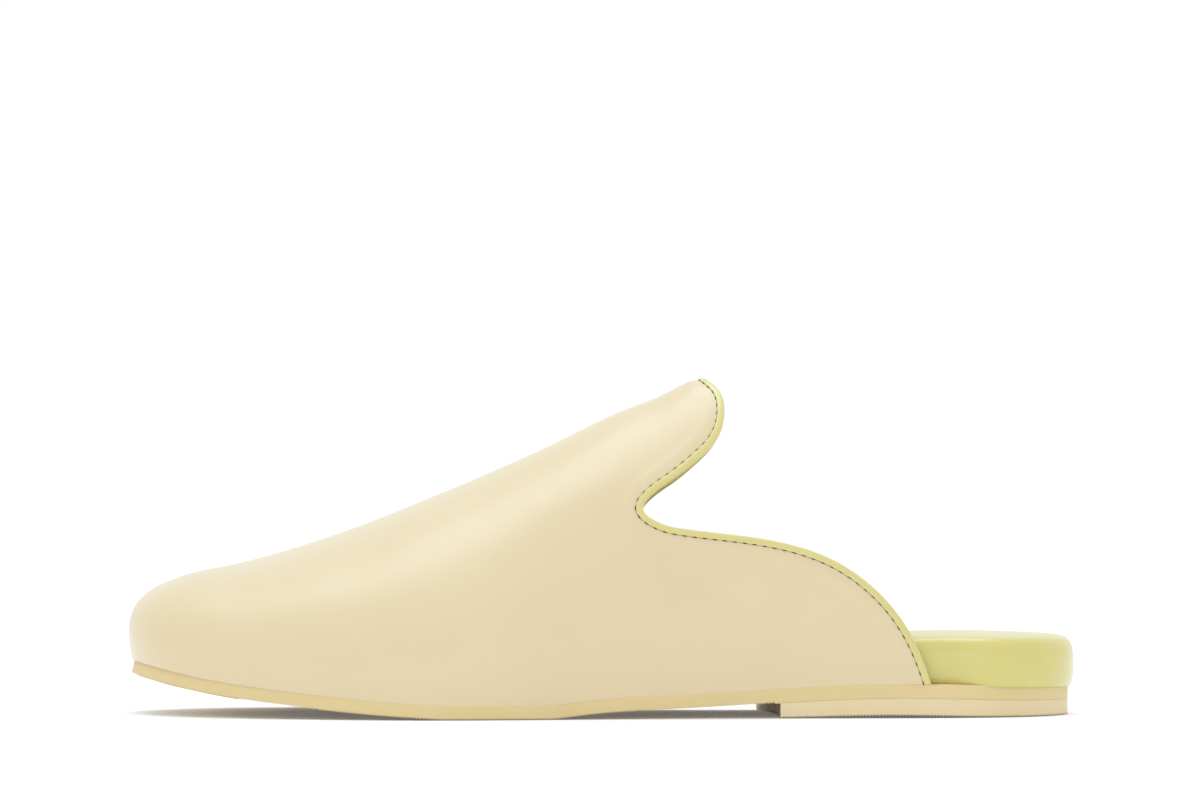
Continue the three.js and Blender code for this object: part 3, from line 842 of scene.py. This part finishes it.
def upper_face(angle, share):
    """The upper's outer face: a rib for each angle of the outline, from the sole, 0, to the ridge, 1."""
    angle, share = np.broadcast_arrays(np.asarray(angle, float), np.asarray(share, float))
    foot = outline(angle, np.full(angle.shape, -FEATHER_INSET))
    along = along_at(angle)
    station = ridge_station(SOLE_LENGTH * along)
    top = ridge(station)
    foot[..., 0] = np.where(station < FAN_START * SOLE_LENGTH, station, foot[..., 0])
    bottom = np.stack([foot[..., 0], foot[..., 1], sole_top(foot[..., 0]) - LASTED_IN], -1)
    outward = np.stack([foot[..., 0] - top[..., 0], foot[..., 1] - top[..., 1], np.zeros(angle.shape)], -1)
    width = np.linalg.norm(outward, axis=-1, keepdims=True)
    outward /= width
    slope = (ridge(station + SLOPE_STEP)[..., 2] - ridge(station - SLOPE_STEP)[..., 2]) / (2 * SLOPE_STEP)
    side = bottom + outward * (SIDE_SWELL * swell_at(along))[..., None]
    side[..., 2] += upright_at(along) * (top[..., 2] - bottom[..., 2])
    crown = top + outward * crown_at(along)[..., None] * width
    crown[..., 2] += slope * (crown[..., 0] - top[..., 0])
    t = share[..., None]
    return (1 - t) ** 3 * bottom + 3 * t * (1 - t) ** 2 * side + 3 * t**2 * (1 - t) * crown + t**3 * top


def upper_normal(angle, share):
    near = np.clip(share, SHARE_STEP, 1 - SHARE_STEP)
    up = upper_face(angle, near + SHARE_STEP) - upper_face(angle, near - SHARE_STEP)
    onward = upper_face(angle + ANGLE_STEP, near) - upper_face(angle - ANGLE_STEP, near)
    normal = np.cross(up, onward)
    return normal / np.linalg.norm(normal, axis=-1, keepdims=True)


topline_x = SOLE_LENGTH * np.array(TOPLINE["along"])
topline_z = SOLE_THICKNESS + INSTEP_HEIGHT * np.array(TOPLINE["up"])
topline_runs = np.concatenate([[0], np.cumsum(np.hypot(np.diff(topline_x), np.diff(topline_z)))])
topline_x_at = spline_through(topline_runs, topline_x)
topline_z_at = spline_through(topline_runs, topline_z)
TOPLINE_LENGTH = topline_runs[-1]
edge_runs = np.linspace(0, TOPLINE_LENGTH, TOPLINE_SAMPLES)
edge_side = np.stack([topline_x_at(edge_runs), topline_z_at(edge_runs)], -1)
edge_line = np.concatenate([[edge_side[0] + BELOW_TOPLINE], edge_side, [edge_side[-1] + PAST_TOPLINE]])


def inner_drop(y):
    """How much lower the topline lies on the inner side of the shoe than on the outer one."""
    share = np.clip((INNER_DROP_START - y) / (INNER_DROP_START - INNER_DROP_END), 0, 1)
    return INNER_DROP * share * share * (3 - 2 * share)


def inside_topline(points):
    """How far points lie in front of the topline in side view, less than 0 behind it."""
    x, z = points[..., 0], points[..., 2] + inner_drop(points[..., 1])
    start, end = edge_line[:-1], edge_line[1:]
    step = end - start
    best = np.full(x.shape, np.inf)
    signed = np.zeros(x.shape)
    point = np.stack([x, z], -1)
    for i in range(len(step)):
        to = point - start[i]
        along = np.clip(to @ step[i] / (step[i] @ step[i]), 0, 1)
        away = to - along[..., None] * step[i]
        distance = np.hypot(away[..., 0], away[..., 1])
        side = step[i][1] * to[..., 0] - step[i][0] * to[..., 1]
        nearer = distance < best
        signed = np.where(nearer, np.where(side > 0, distance, -distance), signed)
        best = np.minimum(best, distance)
    return signed


RIB_COUNT = 210
RIB_ROWS = 100
LEATHER_EDGE = 1.1 * MM
RIM_REACH = 6 * MM
SLIDES = 6
NUDGE = 1e-3
LEAST_FALL = 0.05
ON_RIDGE = 0.9999
SHARP_ANGLE = math.radians(50)
PUFF_HEIGHT = 0.28 * MM
PUFF_PLACE = 4.6 * MM
PUFF_WIDTH = 1.5 * MM
CREASE_BLEND = 8 * MM
CREASES = (
    # x and z of both ends in mm, half width in mm, height in mm, share of it on the inner side
    (133, 58, 165, 45, 5, -0.3, 0.7),
    (139, 70, 158, 63, 5, 0.2, 1),
    (196, 24, 176, 62, 8, -0.13, 0.8),
    (208, 30, 190, 60, 8, 0.1, 0.9),
    (222, 20, 208, 50, 7, -0.18, 0.6),
    (118, 46, 84, 26, 6, -0.25, 0.8),
    (236, 26, 226, 38, 6, 0.2, 1),
    (150, 30, 122, 16, 8, -0.22, 0.5),
)


def crease_height(points):
    """How far the leather stands out of its plain form: soft folds, listed one by one, and the puff by the
    seam.
    """
    x, z = points[..., 0], points[..., 2]
    height = np.zeros(x.shape)
    for x0, z0, x1, z1, width, rise, inner_share in CREASES:
        run = np.array([x1 - x0, z1 - z0])
        share = ((x / MM - x0) * run[0] + (z / MM - z0) * run[1]) / (run @ run)
        near = np.clip(share, 0, 1)
        away = np.hypot(x / MM - x0 - near * run[0], z / MM - z0 - near * run[1])
        outer_share = 0.5 + 0.5 * np.tanh(points[..., 1] / CREASE_BLEND)
        side_share = inner_share + (1 - inner_share) * outer_share
        height += rise * MM * side_share * np.exp(-((away / width) ** 2))
    from_edge = inside_topline(points)
    height += PUFF_HEIGHT * np.exp(-(((from_edge - PUFF_PLACE) / PUFF_WIDTH) ** 2))
    return height


first_angle = turn_of(UPPER_BACK)
side_angles = np.linspace(first_angle, np.pi, RIB_COUNT + 1)
grid_angles = np.concatenate([side_angles, 2 * np.pi - side_angles[-2::-1]])
grid_shares = np.linspace(0, 1, RIB_ROWS + 1)
angle_grid, share_grid = np.meshgrid(grid_angles, grid_shares, indexing="ij")
angle_flat, share_flat = angle_grid.ravel(), share_grid.ravel()
face_points = upper_face(angle_flat, share_flat)
cleared = inside_topline(face_points)
ribs_across, rows_up = angle_grid.shape
corner = (np.arange(ribs_across - 1)[:, None] * rows_up + np.arange(rows_up - 1)).ravel()
quads = np.stack([corner, corner + rows_up, corner + rows_up + 1, corner + 1], -1)
quads = quads[cleared[quads].mean(1) > LEATHER_EDGE]

# vertices at the cut edge slide over the surface until they lie exactly on the trimmed line
edge_count = {}
for quad in quads:
    for i in range(4):
        pair = tuple(sorted((quad[i], quad[(i + 1) % 4])))
        edge_count[pair] = edge_count.get(pair, 0) + 1
rim = np.array(sorted({v for pair, times in edge_count.items() if times == 1 for v in pair}))
rim = rim[(share_flat[rim] > 0.5 / RIB_ROWS) & (share_flat[rim] < 1 - 0.5 / RIB_ROWS)]
rim = rim[np.abs(cleared[rim]) < RIM_REACH]
for _ in range(SLIDES):
    a, s = angle_flat[rim], share_flat[rim]
    here = upper_face(a, s)
    miss = inside_topline(here) - LEATHER_EDGE
    by_angle = upper_face(a + NUDGE, s)
    by_share = upper_face(a, s + NUDGE)
    slope_a = (inside_topline(by_angle) - LEATHER_EDGE - miss) / NUDGE
    slope_s = (inside_topline(by_share) - LEATHER_EDGE - miss) / NUDGE
    length_a = np.linalg.norm(by_angle - here, axis=1) / NUDGE
    length_s = np.linalg.norm(by_share - here, axis=1) / NUDGE
    ga, gs = slope_a / length_a, slope_s / length_s
    fall = miss / np.maximum(ga**2 + gs**2, LEAST_FALL)
    angle_flat[rim] = a - fall * ga / length_a
    share_flat[rim] = np.clip(s - fall * gs / length_s, 0, 1)

outer_wall = upper_face(angle_flat, share_flat)
normals = upper_normal(angle_flat, share_flat).reshape(ribs_across, rows_up, 3)

# the ribs of both sides meet on the ridge, so they share one direction there
ridge_normals = normals[:, -1] + normals[::-1, -1]
normals[:, -1] = ridge_normals / np.linalg.norm(ridge_normals, axis=1, keepdims=True)
normals = normals.reshape(-1, 3)
relief = crease_height(outer_wall)[:, None] * normals
inner_wall = outer_wall - UPPER_WALL * normals + relief / 2
outer_wall = outer_wall + relief
wall_points = np.concatenate([outer_wall, inner_wall])
wall_size = len(outer_wall)
upper_faces = [tuple(quad[::-1]) for quad in quads] + [tuple(quad + wall_size) for quad in quads]
edge_faces = []
for quad in quads:
    for i in range(4):
        a, b = quad[i], quad[(i + 1) % 4]
        if edge_count[tuple(sorted((a, b)))] == 1:
            if min(share_flat[a], share_flat[b]) <= ON_RIDGE:
                edge_faces.append((a, b, b + wall_size, a + wall_size))
upper_leather = skin_material(
    "butter_calf",
    (0.678, 0.548, 0.338),
    (0.646, 0.515, 0.31),
    0.36,
    0.45 * MM,
    0.2,
    24 * MM,
    Coat_Weight=0.45,
    Coat_Roughness=0.35,
    Specular_IOR_Level=0.4,
    Sheen_Weight=0.12,
    Sheen_Roughness=0.5,
    Sheen_Tint=(0.85, 0.97, 1, 1),
)
lining_leather = skin_material(
    "tan_lining", (0.62, 0.47, 0.27), (0.55, 0.4, 0.22), 0.55, 0.6 * MM, 0.35, 15 * MM
)
face_slots = [0] * len(quads) + [1] * len(quads) + [0] * len(edge_faces)
upper = mesh_piece(
    "leather_upper",
    placed(wall_points),
    upper_faces + edge_faces,
    [upper_leather, lining_leather],
    face_slots,
)
close_up(upper)
upper.data.set_sharp_from_angle(angle=SHARP_ANGLE)
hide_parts("upper")
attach(upper, "root")

# The binding: a strip of chartreuse leather folded over the whole topline, from the sole up the outer
# quarter, round the tongue and down the inner quarter, and sewn down near its edge.
BINDING_WIDTH = 2.35 * MM
BINDING_SAMPLE = 0.5 * MM
PATH_SAMPLES = 1200
HALVINGS = 40
CLOSING_STEPS = 4
STITCH_PITCH = 3 * MM
PUCKER = 0.05
BINDING_HALF = {
    # share of the binding's width from its fold, share of half its thickness from the wall's middle
    "distance": (0.98, 1, 0.99, 0.94, 0.82, 0.61, 0.39, 0.2, 0.08, 0.016, 0),
    "height": (0.45, 0.66, 0.8, 0.9, 0.965, 1, 0.98, 0.88, 0.7, 0.4, 0),
}


def share_at_height(angle, z):
    """The share up the rib at an angle at which the upper reaches the topline's height."""
    low, high = np.zeros(angle.shape), np.ones(angle.shape)
    for _ in range(HALVINGS):
        middle = (low + high) / 2
        face = upper_face(angle, middle)
        under = face[..., 2] + inner_drop(face[..., 1]) < z
        low, high = np.where(under, middle, low), np.where(under, high, middle)
    return (low + high) / 2


def nearest_on_upper(points, angle, share):
    """The angle and share of the places on the upper nearest to some points, from a close guess."""
    for _ in range(CLOSING_STEPS):
        here = upper_face(angle, share)
        by_angle = (upper_face(angle + ANGLE_STEP, share) - here) / ANGLE_STEP
        by_share = (upper_face(angle, share + ANGLE_STEP) - here) / ANGLE_STEP
        off = points - here
        aa, ss = (by_angle**2).sum(-1), (by_share**2).sum(-1)
        mixed = (by_angle * by_share).sum(-1)
        ra, rs = (by_angle * off).sum(-1), (by_share * off).sum(-1)
        spread = aa * ss - mixed**2
        angle = angle + (ss * ra - mixed * rs) / spread
        share = share + (aa * rs - mixed * ra) / spread
    return angle, share


dense = TOPLINE_LENGTH * (1 - (1 - np.linspace(0, 1, PATH_SAMPLES)) ** 2)
dense_x, dense_z = topline_x_at(dense), topline_z_at(dense)
dense_angle = turn_of(dense_x / SOLE_LENGTH)
path_angle = np.concatenate([dense_angle, 2 * np.pi - dense_angle[-2::-1]])
path_share = share_at_height(path_angle, np.concatenate([dense_z, dense_z[-2::-1]]))
path = upper_face(path_angle, path_share)
path_runs = np.concatenate([[0], np.cumsum(np.linalg.norm(np.diff(path, axis=0), axis=1))])
sample_runs = np.linspace(0, path_runs[-1], int(path_runs[-1] / BINDING_SAMPLE) + 1)
edge_points = np.stack([np.interp(sample_runs, path_runs, path[:, i]) for i in range(3)], -1)
edge_angle = np.interp(sample_runs, path_runs, path_angle)
edge_share = np.interp(sample_runs, path_runs, path_share)
outer_half = sample_runs <= path_runs[len(dense) - 1]
half_turn = turn_of(edge_points[:, 0] / SOLE_LENGTH)
edge_angle = np.where(outer_half, half_turn, 2 * np.pi - half_turn)
edge_normal = upper_normal(edge_angle, edge_share)
tangent = np.gradient(edge_points, axis=0)
tangent /= np.linalg.norm(tangent, axis=1, keepdims=True)
into = np.cross(edge_normal, tangent)
into /= np.linalg.norm(into, axis=1, keepdims=True)


def beside_topline(distance, height):
    """The line that follows the topline at a distance into the upper and a height over its face."""
    reach = edge_points + into * distance
    angle, share = nearest_on_upper(reach, edge_angle, edge_share)
    return upper_face(angle, share) + height * upper_normal(angle, share)


half_thickness = UPPER_WALL / 2 + BINDING_STEP
profile = list(zip(BINDING_HALF["distance"], BINDING_HALF["height"]))
profile += [(distance, -height) for distance, height in profile[-2::-1]]
between = (0.5 - 0.5 * np.cos(2 * np.pi * sample_runs / STITCH_PITCH))[:, None]
binding_rings = []
for distance, height in profile:
    puffed = height * (1 - PUCKER * distance * (1 - between))
    binding_rings.append(beside_topline(distance * BINDING_WIDTH, half_thickness * puffed - UPPER_WALL / 2))
binding_rings = np.stack(binding_rings, 1)
foot_level = sole_top(binding_rings[..., 0]) + JOINT_GAP
binding_rings[..., 2] = np.maximum(binding_rings[..., 2], foot_level)
samples, around = binding_rings.shape[:2]
binding_faces = []
for i in range(samples - 1):
    for j in range(around):
        k = (j + 1) % around
        binding_faces.append((i * around + j, i * around + k, (i + 1) * around + k, (i + 1) * around + j))
binding_faces.append(tuple(range(around))[::-1])
binding_faces.append(tuple((samples - 1) * around + j for j in range(around)))
binding_leather = skin_material(
    "chartreuse_binding_leather",
    (0.64, 0.56, 0.21),
    (0.585, 0.505, 0.17),
    0.36,
    0.4 * MM,
    0.3,
    9 * MM,
    Coat_Weight=0.5,
    Coat_Roughness=0.3,
    Sheen_Weight=0.2,
)
binding = mesh_piece("bound_topline", placed(binding_rings.reshape(-1, 3)), binding_faces, [binding_leather])
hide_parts("topline_binding")
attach(binding, "root")

# The seam: dark olive waxed thread, sewn through binding and upper just inside the edge of the binding,
# with stitches on both faces. Under each row runs a thin tube of the thread's dark colour: painted shade,
# standing in for the shadow along the seam.
SEAM_INSET = 2.3 * MM
SEAM_LIFT = 0.14 * MM
SEAM_LINES = (
    # height over the upper's outer face, how far from the sole the seam ends
    (SEAM_LIFT, 3 * MM),
    (-UPPER_WALL - SEAM_LIFT, 9 * MM),
)
STITCH_LENGTH = 1.6 * MM
THREAD_THICKNESS = 0.38 * MM
# the thin dark line under each row of stitches is painted shade: a tube in the thread's colour for the shadow
# along the seam
SHADE_LINE_THICKNESS = 0.1 * MM


def stitch_tree():
    """A node tree that lays stitches of a set pitch along each line of a mesh, over a thin dark line of
    painted shade.
    """
    tree = bpy.data.node_groups.new("seam_stitches", "GeometryNodeTree")
    make = tree.interface.new_socket
    make("Geometry", in_out="INPUT", socket_type="NodeSocketGeometry")
    for name in ("Stitch Pitch", "Stitch Length", "Thread Thickness", "Crease Thickness"):
        make(name, in_out="INPUT", socket_type="NodeSocketFloat")
    make("Material", in_out="INPUT", socket_type="NodeSocketMaterial")
    make("Geometry", in_out="OUTPUT", socket_type="NodeSocketGeometry")
    nodes, links = tree.nodes, tree.links
    given, result = nodes.new("NodeGroupInput"), nodes.new("NodeGroupOutput")
    line, places = nodes.new("GeometryNodeMeshToCurve"), nodes.new("GeometryNodeCurveToPoints")
    places.mode = "LENGTH"
    links.new(given.outputs["Geometry"], line.inputs["Mesh"])
    links.new(line.outputs["Curve"], places.inputs["Curve"])
    links.new(given.outputs["Stitch Pitch"], places.inputs["Length"])
    bead, size = nodes.new("GeometryNodeMeshUVSphere"), nodes.new("ShaderNodeCombineXYZ")
    bead.inputs["Segments"].default_value = 8
    bead.inputs["Rings"].default_value = 6
    bead.inputs["Radius"].default_value = 0.5
    links.new(given.outputs["Thread Thickness"], size.inputs["X"])
    links.new(given.outputs["Thread Thickness"], size.inputs["Y"])
    links.new(given.outputs["Stitch Length"], size.inputs["Z"])
    stitches = nodes.new("GeometryNodeInstanceOnPoints")
    links.new(places.outputs["Points"], stitches.inputs["Points"])
    links.new(places.outputs["Rotation"], stitches.inputs["Rotation"])
    links.new(bead.outputs["Mesh"], stitches.inputs["Instance"])
    links.new(size.outputs["Vector"], stitches.inputs["Scale"])
    # the thin dark tube along each line is painted shade, standing in for the shadow along the seam
    half = nodes.new("ShaderNodeMath")
    half.operation = "MULTIPLY"
    half.inputs[1].default_value = 0.5
    links.new(given.outputs["Crease Thickness"], half.inputs[0])
    ring, shade_line = nodes.new("GeometryNodeCurvePrimitiveCircle"), nodes.new("GeometryNodeCurveToMesh")
    ring.inputs["Resolution"].default_value = 6
    links.new(half.outputs[0], ring.inputs["Radius"])
    links.new(line.outputs["Curve"], shade_line.inputs["Curve"])
    links.new(ring.outputs["Curve"], shade_line.inputs["Profile Curve"])
    shade_line.inputs["Fill Caps"].default_value = True
    both, whole = nodes.new("GeometryNodeJoinGeometry"), nodes.new("GeometryNodeRealizeInstances")
    links.new(stitches.outputs["Instances"], both.inputs["Geometry"])
    links.new(shade_line.outputs["Mesh"], both.inputs["Geometry"])
    finish = nodes.new("GeometryNodeSetMaterial")
    links.new(both.outputs["Geometry"], whole.inputs["Geometry"])
    links.new(whole.outputs["Geometry"], finish.inputs["Geometry"])
    links.new(given.outputs["Material"], finish.inputs["Material"])
    links.new(finish.outputs["Geometry"], result.inputs["Geometry"])
    return tree


# one dark material for the real thread and for the painted shade line under it
thread_and_shade = skin_material(
    "olive_waxed_thread", (0.05, 0.042, 0.012), (0.012, 0.01, 0.004), 0.5, 0.12 * MM, 0.6, 2 * MM
)
seam_points = []
seam_edges = []
for lift, end in SEAM_LINES:
    sewn = (sample_runs > end) & (sample_runs < path_runs[-1] - end)
    first = len(seam_points)
    seam_points += [tuple(point) for point in placed(beside_topline(SEAM_INSET, lift)[sewn])]
    seam_edges += [(i, i + 1) for i in range(first, len(seam_points) - 1)]
seam = bpy.data.meshes.new("seam_line")
seam.from_pydata(seam_points, seam_edges, [])
stitching = bpy.data.objects.new("seam_stitching", seam)
bpy.context.collection.objects.link(stitching)
add_nodes(
    stitching,
    stitch_tree(),
    Stitch_Pitch=STITCH_PITCH,
    Stitch_Length=STITCH_LENGTH,
    Thread_Thickness=THREAD_THICKNESS,
    Crease_Thickness=SHADE_LINE_THICKNESS,
    Material=thread_and_shade,
)
stitching.data.polygons.foreach_set("use_smooth", [True] * len(stitching.data.polygons))
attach(stitching, "root")
